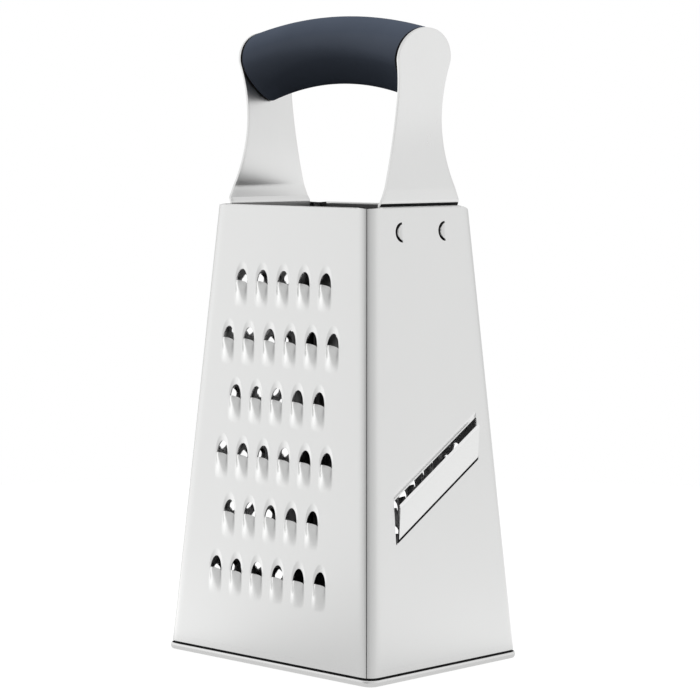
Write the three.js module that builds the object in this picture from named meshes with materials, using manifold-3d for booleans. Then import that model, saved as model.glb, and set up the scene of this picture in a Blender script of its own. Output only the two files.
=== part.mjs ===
// Four-sided box grater: four stamped steel faces lapped at rounded corners, a channel rim crimped
// round the foot, two bowed straps clinched inside the narrow faces, and a soft grip between them.
// Millimetres, +Z up, origin at the middle of the foot. The coarse face looks along -Y, the slicing
// face along +X, the medium face along +Y and the zesting face along -X.

import * as THREE from "three";
import { mergeVertices } from "three/addons/utils/BufferGeometryUtils.js";
import Module from "manifold-3d";

const wasm = await Module();
wasm.setup();

const radians = THREE.MathUtils.degToRad;

// Body, measured over the outside of the sheet
const BASE_WIDTH = 105.3; // along X at the rim line
const BASE_DEPTH = 79.1; // along Y at the rim line
const TOP_WIDTH = 80;
const TOP_DEPTH = 53.7;
const BODY_HEIGHT = 165; // rim line to top edge
const SHEET = 0.6; // steel of the four faces
const CORNER_RADIUS = 4; // outside of the corner bends
const FIT = 0.3; // clearance between pieces that seat on each other

// Corner seams: the narrow faces wrap round the corners and the wide faces lap under them
const SEAM_ANGLE = 25; // from the wide face's flat to the seam, in degrees of the bend
const SEAM_GAP = 0.35; // width of the seam line
const LAP_ANGLE = 75; // where the lap flange ends, in degrees of the bend
const LAP_BITE = 0.25; // how far the flange's root is drawn into the sheet

// Safe edges: a closed hem along the top and a channel rim round the foot
const HEM_HEIGHT = 5;
const RIM_HEIGHT = 2.3;
const RIM_SHEET = 0.4;
const RIM_FIT = 0.15; // clearance between the crimped rim and the faces

// Grating teeth: the sheet is drawn out below a pierced hole, up to a cutting edge, and in above it
const COARSE = {
  columns: [6, 5], // teeth in the lowest row and in the one above it, alternating upwards
  rows: 6,
  across: 10.8, // pitch along a row
  aside: -1.8, // shift of the whole pattern along the rows
  up: 21.3, // pitch of the rows along the slope
  first: 29.7, // ends of the lowest row's cutting edges above the rim line, along the slope
  halfWidth: 2.95, // of the hole
  hole: 5.6, // height of the hole above the ends of the cutting edge
  peak: 1.4, // how far the middle of the cutting edge stands above its ends
  rise: 2.4, // of the cutting edge above the sheet
  scoop: 8.8, // length of the drawn-out part below the edge
  dish: 0.55, // depth of the drawn-in part
  reach: 2.9, // of the drawn-in part above the hole
  margin: 0.5, // of the drawn part beside the hole
  points: 12, // facets round a tooth
  rings: 2, // facets from the flat sheet to the hole
};
const MEDIUM = {
  columns: [7, 6],
  rows: 8,
  across: 8.6,
  aside: 0,
  up: 15.4,
  first: 28,
  halfWidth: 2,
  hole: 3.5,
  peak: 0.8,
  rise: 1.5,
  scoop: 5.4,
  dish: 0.4,
  reach: 1.6,
  margin: 0.4,
  points: 8,
  rings: 1,
};
const DRAW_POWER = 1.2; // how late the drawn sheet climbs to the edge

// Zesting points: small four-sided bursts, each with a hole through it
const ZEST = {
  columns: [7, 6],
  rows: 10,
  across: 6.6,
  aside: 0,
  up: 10.8,
  first: 27,
  foot: 2.3, // half width of a burst on the sheet
  hole: 1.45,
  rise: 0.8,
  points: 4, // sides of a burst
  skew: 20, // turn of its sides, in degrees
};

// Slicing slot: a slanted window with a blade flap bent out along its lower edge
const SLOT_WIDTH = 46; // across the face
const SLOT_LEAN = 30; // slope of the blade, in degrees
const SLOT_CENTRE = 68.2; // middle of the window above the rim line, along the slope
const SLOT_HEIGHT = 15.4; // square to the blade
const BLADE_LENGTH = 11.6; // of the flap, from its bend to its edge
const BLADE_ANGLE = 9; // how far the flap is bent out, in degrees
const BLADE_BEVEL = 1.4;
const BLADE_SIDE_CUT = 0.4; // clearance beside the flap

// Lanced half-moon tabs that clinch each strap to its face
const LANCE_RADIUS = 3.6;
const LANCE_SPACING = 22.6; // between the two tabs
const LANCE_DROP = 9; // below the top edge
const LANCE_ANGLE = 22; // bend of the face's tab, in degrees
const LANCE_CUT = 0.15;
const TONGUE_TAB_RADIUS = 3;
const TONGUE_TAB_ANGLE = 28;

// Handle straps
const STRAP_SHEET = 1;
const STRAP_RISE = 63.8; // top of the strap above the top edge
const STRAP_PROUD = 0.1; // how far the strap stands outside the face's top edge
const CREASE_RISE = 2; // the strap's lower crease above the top edge
const KNEE_RISE = 0.3; // where the foot turns down into the body
const TONGUE_LENGTH = 17; // of the strap inside the body
const TONGUE_HALF_WIDTH = 20.6;
const TONGUE_CORNER = 4;
const FLARE_HALF_WIDTH = 20.4; // at the crease
const FLARE_CORNER = 1.2;
const WAIST_HALF_WIDTH = 11.6;
const WAIST_RISE = 37.3; // waist above the top edge
const DOME_HALF_WIDTH = 13.7; // rounded upper end
const DOME_HEIGHT = 11.3;
const NECK_PULL = 0.6; // how far the waist's straight runs up towards the dome, as a share of the way
const DOME_PULL = 0.1; // how far the dome's side runs down towards the waist, likewise
const BOW_RADIUS = 113; // the strap's gentle bow
const LEAN_IN = 10.8; // lean towards the middle at the crease, in degrees
const LEAN_OUT = 7.3; // lean outwards beside the grip, in degrees

// Grip: an arched bar of pick-shaped section, a soft sleeve over a stiff core, on a stud at each end
const GRIP_DEPTH = 14.5; // from the dome's centre to the grip's lower edge
const GRIP_SHOULDER = 2.2; // how far the sides run straight down below the widest point
const GRIP_KEEL = 3; // half width over which the lower edge is rounded
const GRIP_TOP_ARCH = 5.4; // rise of the upper line between the straps
const GRIP_LOWER_ARCH = 6.2; // rise of the lower line between the straps
const GRIP_WALL = 3; // of the soft sleeve
const STUD_RADIUS = 3;
const STUD_LENGTH = 14;

// Facets
const CORNER_STEPS = 4;
const RIM_STEPS = 6;
const BOW_STEPS = 6;
const OUTLINE_STEPS = 5;
const GRIP_STATIONS = 6;
const ROUND_STEPS = 12;

// Worked out from the sizes above
const RIM_LINE = RIM_HEIGHT;
const TOP = RIM_LINE + BODY_HEIGHT;
const PANEL_FOOT = RIM_SHEET + FIT;
const SEAM_HALF = THREE.MathUtils.radToDeg(SEAM_GAP / CORNER_RADIUS) / 2;
const THROUGH = 20; // a cut this long goes right through any sheet

// Solids and geometry

function solidOf(geometry) {
  const bare = geometry.clone();
  bare.deleteAttribute("normal");
  bare.deleteAttribute("uv");
  const merged = mergeVertices(bare, 1e-4);
  const mesh = new wasm.Mesh({
    numProp: 3,
    vertProperties: new Float32Array(merged.attributes.position.array),
    triVerts: new Uint32Array(merged.index.array),
  });
  return new wasm.Manifold(mesh);
}

function geometryOf(solid) {
  const mesh = solid.getMesh();
  const geometry = new THREE.BufferGeometry();
  geometry.setAttribute("position", new THREE.BufferAttribute(mesh.vertProperties, 3));
  geometry.setIndex(new THREE.BufferAttribute(mesh.triVerts, 1));
  geometry.computeVertexNormals();
  return geometry;
}

function joined(solids) {
  return solids.reduce((whole, solid) => whole.add(solid));
}

// The triangles that close a flat ring, turning the same way as the ring does.
function capOf(ring) {
  const normal = new THREE.Vector3();
  ring.forEach((p, i) => {
    const q = ring[(i + 1) % ring.length];
    normal.x += (p.y - q.y) * (p.z + q.z);
    normal.y += (p.z - q.z) * (p.x + q.x);
    normal.z += (p.x - q.x) * (p.y + q.y);
  });
  normal.normalize();
  const across = new THREE.Vector3().subVectors(ring[1], ring[0]).normalize();
  const along = new THREE.Vector3().crossVectors(normal, across);
  const flat = ring.map((p) => new THREE.Vector2(p.dot(across), p.dot(along)));
  return THREE.ShapeUtils.triangulateShape(flat, []);
}

// A solid through a row of closed rings that all have the same number of points.
function loft(rings) {
  const count = rings[0].length;
  const last = (rings.length - 1) * count;
  const triangles = [];
  for (let base = 0; base < last; base += count) {
    for (let i = 0; i < count; i++) {
      const a = base + i;
      const b = base + ((i + 1) % count);
      triangles.push([a, b, b + count], [a, b + count, a + count]);
    }
  }
  for (const [a, b, c] of capOf(rings[0])) triangles.push([a, c, b]);
  for (const [a, b, c] of capOf(rings.at(-1))) triangles.push([a + last, b + last, c + last]);

  const points = rings.flat();
  const volume = triangles.reduce((sum, [a, b, c]) => {
    return sum + points[a].dot(new THREE.Vector3().crossVectors(points[b], points[c]));
  }, 0);
  const facing = volume < 0 ? triangles.map(([a, b, c]) => [a, c, b]) : triangles;
  const geometry = new THREE.BufferGeometry().setFromPoints(points);
  geometry.setIndex(facing.flat());
  return solidOf(geometry);
}

// A flat outline made into a plate that is centred on its own plane.
function slab(shape, thickness, placing = new THREE.Matrix4()) {
  const geometry = new THREE.ExtrudeGeometry(shape, {
    depth: thickness,
    bevelEnabled: false,
    curveSegments: OUTLINE_STEPS,
  });
  geometry.translate(0, 0, -thickness / 2);
  return solidOf(geometry.applyMatrix4(placing));
}

function polygon(points) {
  return new THREE.Shape(points.map(([x, y]) => new THREE.Vector2(x, y)));
}

function moved(x, y, z) {
  return new THREE.Matrix4().makeTranslation(x, y, z);
}

// Faces: each is drawn as if it looked along -Y, and its group turns it to its own side

const WIDE = {
  baseHalf: BASE_WIDTH / 2,
  topHalf: TOP_WIDTH / 2,
  baseOut: BASE_DEPTH / 2,
  topOut: TOP_DEPTH / 2,
};
const NARROW = {
  baseHalf: WIDE.baseOut,
  topHalf: WIDE.topOut,
  baseOut: WIDE.baseHalf,
  topOut: WIDE.topHalf,
};

function tapered(base, top, z) {
  return base + ((top - base) * (z - RIM_LINE)) / BODY_HEIGHT;
}

function tiltOf(face) {
  return Math.atan((face.baseOut - face.topOut) / BODY_HEIGHT);
}

function slopeLength(face) {
  return BODY_HEIGHT / Math.cos(tiltOf(face));
}

// From the face's own axes (across, up the slope from the rim line, out of the sheet) to the body's.
function faceFrame(face) {
  const tilt = tiltOf(face);
  const across = new THREE.Vector3(1, 0, 0);
  const up = new THREE.Vector3(0, Math.sin(tilt), Math.cos(tilt));
  const out = new THREE.Vector3(0, -Math.cos(tilt), Math.sin(tilt));
  return new THREE.Matrix4().makeBasis(across, up, out).setPosition(0, -face.baseOut, RIM_LINE);
}

function placed(solid, face) {
  return solid.transform(faceFrame(face).toArray());
}

// A point of a corner bend: side is -1 or 1, angle is in degrees from the flat.
function bendPoint(face, z, side, angle, radius) {
  const half = tapered(face.baseHalf, face.topHalf, z) - CORNER_RADIUS;
  const out = tapered(face.baseOut, face.topOut, z) - CORNER_RADIUS;
  const turn = radians(angle);
  const x = half + radius * Math.sin(turn);
  return new THREE.Vector3(side * x, -out - radius * Math.cos(turn), z);
}

function bend(face, z, side, from, to, radius) {
  return Array.from({ length: CORNER_STEPS + 1 }, (_, k) => {
    return bendPoint(face, z, side, from + ((to - from) * k) / CORNER_STEPS, radius);
  });
}

// The flat of a face with its two corner bends, up to the given angle, and the stamps in the flat. Every
// stamp is a row of rings from the flat sheet inwards to its hole, in the face's own axes.
function sheetOf(face, endAngle, stamps) {
  const outer = [];
  const inner = [];
  const triangles = [];
  const quad = (a, b, c, d) => triangles.push([a, b, c], [a, c, d]);

  // Columns from left to right, each with a lower and an upper point
  const angles = Array.from({ length: CORNER_STEPS + 1 }, (_, k) => (endAngle * k) / CORNER_STEPS);
  const leftEnd = angles.toReversed().map((angle) => [-1, angle]);
  const columns = [...leftEnd, ...angles.map((angle) => [1, angle])];
  for (const [side, angle] of columns) {
    for (const z of [PANEL_FOOT, TOP - SHEET]) {
      outer.push(bendPoint(face, z, side, angle, CORNER_RADIUS));
      inner.push(bendPoint(face, z, side, angle, CORNER_RADIUS - SHEET));
    }
  }
  for (let j = 0; j + 1 < columns.length; j++) {
    if (j !== CORNER_STEPS) quad(2 * j, 2 * j + 2, 2 * j + 3, 2 * j + 1);
  }

  // The stamps' own rings
  const frame = faceFrame(face);
  const mouths = [];
  const holes = [];
  for (const rings of stamps) {
    const count = rings[0].length;
    const start = outer.length;
    for (const point of rings.flat()) {
      const place = point.clone().applyMatrix4(frame);
      outer.push(place);
      inner.push(place.clone().setY(place.y + SHEET));
    }
    const ringIndex = (j) => Array.from({ length: count }, (_, k) => start + j * count + k);
    for (let j = 0; j + 1 < rings.length; j++) {
      const from = ringIndex(j);
      const to = ringIndex(j + 1);
      from.forEach((a, k) => quad(a, from[(k + 1) % count], to[(k + 1) % count], to[k]));
    }
    mouths.push(ringIndex(0));
    holes.push(ringIndex(rings.length - 1));
  }

  // The flat sheet between them
  const left = 2 * CORNER_STEPS;
  const border = [left, left + 2, left + 3, left + 1];
  const flatten = frame.clone().invert();
  const flat = (index) => {
    const point = outer[index].clone().applyMatrix4(flatten);
    return new THREE.Vector2(point.x, point.y);
  };
  const corners = [...border, ...mouths.flat()];
  const openings = mouths.map((ring) => ring.map(flat));
  const faces = THREE.ShapeUtils.triangulateShape(border.map(flat), openings);
  for (const [a, b, c] of faces) {
    const [first, second, third] = [corners[a], corners[b], corners[c]];
    const turn = flat(second).sub(flat(first)).cross(flat(third).sub(flat(first)));
    triangles.push(turn > 0 ? [first, second, third] : [first, third, second]);
  }

  // The inner surface is the outer one turned round, and edges join the two
  const behind = outer.length;
  const all = [...triangles, ...triangles.map(([a, b, c]) => [a + behind, c + behind, b + behind])];
  const last = columns.length - 1;
  const around = [];
  for (let j = last; j >= 0; j--) around.push(2 * j);
  for (let j = 0; j <= last; j++) around.push(2 * j + 1);
  for (const ring of [around, ...holes]) {
    ring.forEach((a, k) => {
      const b = ring[(k + 1) % ring.length];
      all.push([a, b, b + behind], [a, b + behind, a + behind]);
    });
  }
  const geometry = new THREE.BufferGeometry().setFromPoints([...outer, ...inner]);
  geometry.setIndex(all.flat());
  return solidOf(geometry);
}

// The flange of a wide face that lies under the narrow face's bend.
function lapFlange(face, side) {
  const seamEdge = SEAM_ANGLE - SEAM_HALF;
  const outer = CORNER_RADIUS - SHEET - FIT;
  const inner = outer - SHEET;
  const root = CORNER_RADIUS - SHEET + LAP_BITE;
  const section = (z) => [
    bendPoint(face, z, side, seamEdge / 3, root),
    bendPoint(face, z, side, seamEdge - SEAM_HALF, root),
    ...bend(face, z, side, seamEdge, LAP_ANGLE, outer),
    ...bend(face, z, side, LAP_ANGLE, seamEdge / 3, inner),
  ];
  return loft([section(RIM_HEIGHT + FIT), section(TOP - SHEET)]);
}

// The closed hem: the sheet folded in and down along the top edge.
function hemOf(face) {
  const length = slopeLength(face);
  const fold = new THREE.Shape();
  fold.moveTo(length - HEM_HEIGHT, -2 * SHEET);
  fold.lineTo(length - SHEET, -2 * SHEET);
  fold.absarc(length - SHEET, -SHEET, SHEET, -Math.PI / 2, Math.PI / 2, false);
  fold.lineTo(length - HEM_HEIGHT, 0);
  const up = new THREE.Vector3(0, 1, 0);
  const out = new THREE.Vector3(0, 0, 1);
  const across = new THREE.Vector3(1, 0, 0);
  const standing = new THREE.Matrix4().makeBasis(up, out, across);
  return placed(slab(fold, 2 * (face.topHalf - CORNER_RADIUS), standing), face);
}

function wideSheet(stamps) {
  const sheet = sheetOf(WIDE, SEAM_ANGLE - SEAM_HALF, stamps);
  return joined([sheet, lapFlange(WIDE, -1), lapFlange(WIDE, 1), hemOf(WIDE)]);
}

function narrowSheet(stamps) {
  return sheetOf(NARROW, 90 - SEAM_ANGLE - SEAM_HALF, stamps).add(hemOf(NARROW));
}

// Stamped patterns

// A stamp's rings repeated over the face in staggered rows, lowest row first. Those that would run into
// the bends or the hem are left out.
function staggered({ columns, rows, across, aside, up, first }, face, rings) {
  const reach = Math.max(...rings.flat().map((p) => Math.abs(p.x)));
  const height = Math.max(...rings.flat().map((p) => p.y));
  const copies = [];
  for (let row = 0; row < rows; row++) {
    const count = columns[row % columns.length];
    const y = first + row * up;
    const half = tapered(face.baseHalf, face.topHalf, RIM_LINE + y + height) - CORNER_RADIUS;
    if (y + height > slopeLength(face) - HEM_HEIGHT) continue;
    for (let k = 0; k < count; k++) {
      const x = aside + (k - (count - 1) / 2) * across;
      if (Math.abs(x) + reach > half) continue;
      copies.push(rings.map((ring) => ring.map((p) => new THREE.Vector3(p.x + x, p.y + y, p.z))));
    }
  }
  return copies;
}

// One grating tooth, with the middle of its cutting edge just below y = 0.
function toothRings(tooth) {
  const { halfWidth, hole, peak, rise, scoop, dish, reach, margin, points, rings } = tooth;
  return Array.from({ length: rings + 1 }, (_, j) => {
    const share = j / rings;
    return Array.from({ length: points }, (_, k) => {
      const turn = (2 * Math.PI * k) / points - Math.PI / 2;
      const sine = Math.sin(turn);
      const below = Math.max(-sine, 0);
      const above = Math.max(sine, 0);
      const edge = hole * above + peak * below;
      const border = (hole + reach) * above - scoop * below;
      const x = (halfWidth + margin * (1 - share)) * Math.cos(turn);
      const drawn = (rise * below - dish * above) * share ** DRAW_POWER;
      return new THREE.Vector3(x, border + (edge - border) * share, drawn);
    });
  });
}

function burstRings({ foot, hole, rise, points, skew }) {
  return [[foot, 0], [hole, rise]].map(([radius, height]) => {
    return Array.from({ length: points }, (_, k) => {
      const turn = (2 * Math.PI * k) / points + radians(skew);
      return new THREE.Vector3(radius * Math.cos(turn), radius * Math.sin(turn), height);
    });
  });
}

// Slicing blade

function withBlade(sheet, face) {
  const lean = radians(SLOT_LEAN);
  const along = new THREE.Vector3(Math.cos(lean), Math.sin(lean), 0);
  const across = new THREE.Vector3(-Math.sin(lean), Math.cos(lean), 0);
  const out = new THREE.Vector3(0, 0, 1);
  const half = SLOT_WIDTH / 2;
  const rise = half * Math.tan(lean);
  const lower = SLOT_CENTRE - SLOT_HEIGHT / 2 / Math.cos(lean);
  const upper = SLOT_CENTRE + SLOT_HEIGHT / 2 / Math.cos(lean);
  const window = polygon([
    [-half, lower - rise],
    [half, lower + rise],
    [half, upper + rise],
    [-half, upper - rise],
  ]);

  // The flap in section: d runs up the sheet from the bend, w out of it
  const root = -SHEET / 2;
  const flapSection = polygon([
    [root, -SHEET],
    [BLADE_LENGTH, -SHEET],
    [BLADE_LENGTH - BLADE_BEVEL, 0],
    [root, 0],
  ]);
  const bentOut = new THREE.Matrix4().makeRotationZ(radians(BLADE_ANGLE));
  const lengthwise = new THREE.Matrix4().makeBasis(across, out, along).setPosition(0, lower, 0);
  const flap = slab(flapSection, 2 * SLOT_WIDTH, lengthwise.multiply(bentOut));
  const reach = half - BLADE_SIDE_CUT;
  const sides = polygon([
    [-reach, lower - SLOT_WIDTH],
    [reach, lower - SLOT_WIDTH],
    [reach, upper + SLOT_WIDTH],
    [-reach, upper + SLOT_WIDTH],
  ]);
  const trimmed = flap.intersect(slab(sides, THROUGH));
  return sheet.subtract(placed(slab(window, THROUGH), face)).add(placed(trimmed, face));
}

// Clinch tabs

function halfMoon(radius) {
  const moon = new THREE.Shape();
  moon.absarc(0, 0, radius, Math.PI / 2, (3 * Math.PI) / 2, false);
  return moon;
}

function lancePlaces(face) {
  const height = slopeLength(face) - LANCE_DROP;
  return [-LANCE_SPACING / 2, LANCE_SPACING / 2].map((x) => [x, height]);
}

// Half-moon tabs cut in a sheet whose outer surface lies at depth, and bent out about their chords.
function withLances(sheet, face, thickness, depth, { radius, angle }) {
  const middle = -depth - thickness / 2;
  const cut = slab(halfMoon(LANCE_RADIUS), thickness + FIT, moved(0, 0, middle));
  const bent = moved(0, 0, middle).multiply(new THREE.Matrix4().makeRotationY(radians(angle)));
  const hinge = thickness / 2;
  const tab = halfMoon(radius);
  tab.lineTo(hinge, -radius);
  tab.lineTo(hinge, radius);
  const flap = slab(tab, thickness, bent);
  const patterned = (solid) => {
    return placed(joined(lancePlaces(face).map(([x, y]) => solid.translate([x, y, 0]))), face);
  };
  return sheet.subtract(patterned(cut)).add(patterned(flap));
}

function withFaceLances(sheet) {
  return withLances(sheet, NARROW, SHEET, 0, { radius: LANCE_RADIUS - LANCE_CUT, angle: LANCE_ANGLE });
}

// Rim

function rimRing(z, offset) {
  const half = tapered(WIDE.baseHalf, WIDE.topHalf, z) - CORNER_RADIUS;
  const out = tapered(WIDE.baseOut, WIDE.topOut, z) - CORNER_RADIUS;
  const radius = CORNER_RADIUS + offset;
  const ring = [];
  for (const [sx, sy, start] of [[1, 1, 0], [-1, 1, 90], [-1, -1, 180], [1, -1, 270]]) {
    for (let k = 0; k <= RIM_STEPS; k++) {
      const turn = radians(start + (90 * k) / RIM_STEPS);
      const x = sx * half + radius * Math.cos(turn);
      const y = sy * out + radius * Math.sin(turn);
      ring.push(new THREE.Vector3(x, y, z));
    }
  }
  return ring;
}

function baseRim() {
  const band = (low, high, offset) => loft([rimRing(low, offset), rimRing(high, offset)]);
  const outer = RIM_FIT;
  const inner = -SHEET - RIM_FIT;
  const above = RIM_HEIGHT + FIT;
  const ring = band(0, RIM_HEIGHT, outer + RIM_SHEET).subtract(band(-FIT, above, inner - RIM_SHEET));
  const channel = band(RIM_SHEET, above, outer).subtract(band(0, above + FIT, inner));
  return ring.subtract(channel);
}

// Straps, drawn on the +X side

const TONGUE_DEPTH = 2 * SHEET + FIT; // the tongue hangs just inside the hem
const LEANING = radians(LEAN_OUT);

// The strap's outer surface seen along Y, from the tongue's lower end to the top.
function strapLine() {
  const tilt = tiltOf(NARROW);
  const tongueX = (z) => TOP_WIDTH / 2 - (z - TOP) * Math.tan(tilt) - TONGUE_DEPTH / Math.cos(tilt);
  const knee = TOP + KNEE_RISE;
  const foot = TOP - TONGUE_LENGTH;
  const crease = new THREE.Vector2(TOP_WIDTH / 2 + STRAP_PROUD, TOP + CREASE_RISE);
  const line = [new THREE.Vector2(tongueX(foot), foot), new THREE.Vector2(tongueX(knee), knee)];
  for (let k = 0; k <= BOW_STEPS; k++) {
    const lean = radians(-LEAN_IN + ((LEAN_IN + LEAN_OUT) * k) / BOW_STEPS);
    const x = crease.x + BOW_RADIUS * (Math.cos(radians(LEAN_IN)) - Math.cos(lean));
    const z = crease.y + BOW_RADIUS * (Math.sin(radians(LEAN_IN)) + Math.sin(lean));
    line.push(new THREE.Vector2(x, z));
  }
  const bowEnd = line.at(-1);
  const rest = TOP + STRAP_RISE - bowEnd.y;
  line.push(new THREE.Vector2(bowEnd.x + rest * Math.tan(LEANING), TOP + STRAP_RISE));
  return line;
}

// The same line moved sideways by a distance, with mitred turns.
function offsetLine(line, distance) {
  return line.map((p, i) => {
    const before = i > 0 ? p.clone().sub(line[i - 1]).normalize() : null;
    const after = i + 1 < line.length ? line[i + 1].clone().sub(p).normalize() : null;
    const a = before ?? after;
    const b = after ?? before;
    const mitre = new THREE.Vector2(-a.y - b.y, a.x + b.x);
    return p.clone().addScaledVector(mitre, (2 * distance) / mitre.lengthSq());
  });
}

// The strap's outline seen along X: tongue, flared foot, waist and domed top.
function strapOutline() {
  const crease = TOP + CREASE_RISE;
  const waist = TOP + WAIST_RISE;
  const dome = TOP + STRAP_RISE - DOME_HEIGHT;
  const foot = TOP - TONGUE_LENGTH;
  const flareTurn = (waist + crease) / 2;
  const neckTurn = waist + NECK_PULL * (dome - waist);
  const domeTurn = dome - DOME_PULL * (dome - waist);
  const flareFoot = crease - FLARE_CORNER;
  const tongue = TONGUE_HALF_WIDTH;
  const flare = FLARE_HALF_WIDTH;
  const neck = WAIST_HALF_WIDTH;
  const head = DOME_HALF_WIDTH;
  const outline = new THREE.Shape();
  outline.moveTo(tongue - TONGUE_CORNER, foot);
  outline.quadraticCurveTo(tongue, foot, tongue, foot + TONGUE_CORNER);
  outline.lineTo(tongue, flareFoot);
  outline.quadraticCurveTo(flare, flareFoot, flare, crease);
  outline.quadraticCurveTo(neck, flareTurn, neck, waist);
  outline.bezierCurveTo(neck, neckTurn, head, domeTurn, head, dome);
  outline.absellipse(0, dome, head, DOME_HEIGHT, 0, Math.PI, false);
  outline.bezierCurveTo(-head, domeTurn, -neck, neckTurn, -neck, waist);
  outline.quadraticCurveTo(-neck, flareTurn, -flare, crease);
  outline.quadraticCurveTo(-flare, flareFoot, -tongue, flareFoot);
  outline.lineTo(-tongue, foot + TONGUE_CORNER);
  outline.quadraticCurveTo(-tongue, foot, -tongue + TONGUE_CORNER, foot);
  return outline;
}

function strap() {
  const line = strapLine();
  const profile = new THREE.Shape([...line, ...offsetLine(line, STRAP_SHEET).reverse()]);
  const sideways = new THREE.Matrix4().makeRotationX(Math.PI / 2);
  const strip = slab(profile, 4 * FLARE_HALF_WIDTH, sideways);
  const facing = new THREE.Matrix4().makeBasis(
    new THREE.Vector3(0, 1, 0),
    new THREE.Vector3(0, 0, 1),
    new THREE.Vector3(1, 0, 0),
  );
  const plain = strip.intersect(slab(strapOutline(), 2 * TOP_WIDTH, facing));

  // The clinch tabs are placed in the face's own frame, so the strap is turned there and back
  const quarter = new THREE.Matrix4().makeRotationZ(-Math.PI / 2);
  const back = new THREE.Matrix4().makeRotationZ(Math.PI / 2);
  const turned = plain.transform(quarter.toArray());
  const tab = { radius: TONGUE_TAB_RADIUS, angle: TONGUE_TAB_ANGLE };
  return withLances(turned, NARROW, STRAP_SHEET, TONGUE_DEPTH, tab).transform(back.toArray());
}

// Grip

// Where the strap's inner surface stands at a height beside the grip, on the +X side.
function seatX(z) {
  const [bowEnd] = strapLine().slice(-2);
  return bowEnd.x + (z - bowEnd.y) * Math.tan(LEANING) - STRAP_SHEET / Math.cos(LEANING);
}

const DOME_CENTRE = TOP + STRAP_RISE - DOME_HEIGHT;

// The grip's section: round above, drawn in to a narrow keel below. It is centred on the dome.
function gripSection() {
  const section = new THREE.Shape();
  section.moveTo(DOME_HALF_WIDTH, 0);
  section.absellipse(0, 0, DOME_HALF_WIDTH, DOME_HEIGHT, 0, Math.PI, false);
  section.bezierCurveTo(-DOME_HALF_WIDTH, -GRIP_SHOULDER, -GRIP_KEEL, -GRIP_DEPTH, 0, -GRIP_DEPTH);
  section.bezierCurveTo(GRIP_KEEL, -GRIP_DEPTH, DOME_HALF_WIDTH, -GRIP_SHOULDER, DOME_HALF_WIDTH, 0);
  const points = section.getPoints(OUTLINE_STEPS);
  points.pop();
  return points;
}

// An arched bar between the straps, with its section drawn in by a wall and its ends set back by a gap.
function gripBar(wall, gap) {
  const scale = (DOME_HALF_WIDTH - wall) / DOME_HALF_WIDTH;
  const high = DOME_CENTRE + DOME_HEIGHT;
  const low = DOME_CENTRE - GRIP_DEPTH;
  const rings = Array.from({ length: GRIP_STATIONS + 1 }, (_, k) => {
    const s = -1 + (2 * k) / GRIP_STATIONS;
    const arch = 1 - s * s;
    const top = new THREE.Vector3(s * (seatX(high) - gap), 0, high + GRIP_TOP_ARCH * arch);
    const keel = new THREE.Vector3(s * (seatX(low) - gap), 0, low + GRIP_LOWER_ARCH * arch);
    return gripSection().map((p) => {
      const share = (p.y * scale + GRIP_DEPTH) / (DOME_HEIGHT + GRIP_DEPTH);
      const point = keel.clone().lerp(top, share);
      point.y = p.x * scale;
      return point;
    });
  });
  return loft(rings);
}

// A pin standing square on the strap's inner surface, beside the middle of the dome.
function studForm(radius, start, end) {
  const pin = new THREE.CylinderGeometry(radius, radius, end - start, ROUND_STEPS);
  pin.translate(0, (start + end) / 2, 0);
  pin.rotateX(Math.PI / 2);
  pin.rotateY(LEANING - Math.PI / 2);
  pin.translate(seatX(DOME_CENTRE), 0, DOME_CENTRE);
  return solidOf(pin);
}

function gripCore() {
  const half = new THREE.Matrix4().makeRotationZ(Math.PI);
  const socket = studForm(STUD_RADIUS + FIT, -FIT, STUD_LENGTH + 2 * FIT);
  const bar = gripBar(GRIP_WALL, FIT);
  return bar.subtract(socket).subtract(socket.transform(half.toArray()));
}

function gripSleeve() {
  return gripBar(0, FIT).subtract(gripBar(GRIP_WALL - FIT, -FIT));
}

// Finishes

function finish(color, metalness, roughness) {
  return new THREE.MeshStandardMaterial({ color, metalness, roughness });
}

const satinSteel = finish(0xdedddb, 1, 0.32);
const polishedSteel = finish(0xe2e2e0, 1, 0.22);
const softRubber = finish(0x2b313b, 0, 0.6);
const stiffPlastic = finish(0x1d1f22, 0, 0.5);

// Assembly

const grater = new THREE.Group();

function addPiece(name, solid, material, turn) {
  const side = new THREE.Group();
  side.rotation.z = radians(turn);
  const piece = new THREE.Mesh(geometryOf(solid), material);
  piece.name = name;
  side.add(piece);
  grater.add(side);
}

const coarseTeeth = staggered(COARSE, WIDE, toothRings(COARSE));
const mediumTeeth = staggered(MEDIUM, WIDE, toothRings(MEDIUM));
const zestingPoints = staggered(ZEST, NARROW, burstRings(ZEST));

addPiece("coarse_panel", wideSheet(coarseTeeth), satinSteel, 0);
addPiece("slicer_panel", withBlade(withFaceLances(narrowSheet([])), NARROW), satinSteel, 90);
addPiece("medium_panel", wideSheet(mediumTeeth), satinSteel, 180);
addPiece("zester_panel", withFaceLances(narrowSheet(zestingPoints)), satinSteel, -90);
addPiece("base_rim", baseRim(), polishedSteel, 0);
addPiece("handle_strap_right", strap(), satinSteel, 0);
addPiece("handle_strap_left", strap(), satinSteel, 180);
addPiece("grip_sleeve", gripSleeve(), softRubber, 0);
addPiece("grip_core", gripCore(), stiffPlastic, 0);
addPiece("grip_stud_right", studForm(STUD_RADIUS, FIT, STUD_LENGTH), polishedSteel, 0);
addPiece("grip_stud_left", studForm(STUD_RADIUS, FIT, STUD_LENGTH), polishedSteel, 180);

export default grater;
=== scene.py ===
from math import asin, atan, cos, pi, radians, sin, sqrt, tan

import bmesh
import bpy
from mathutils import Matrix, Vector


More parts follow.
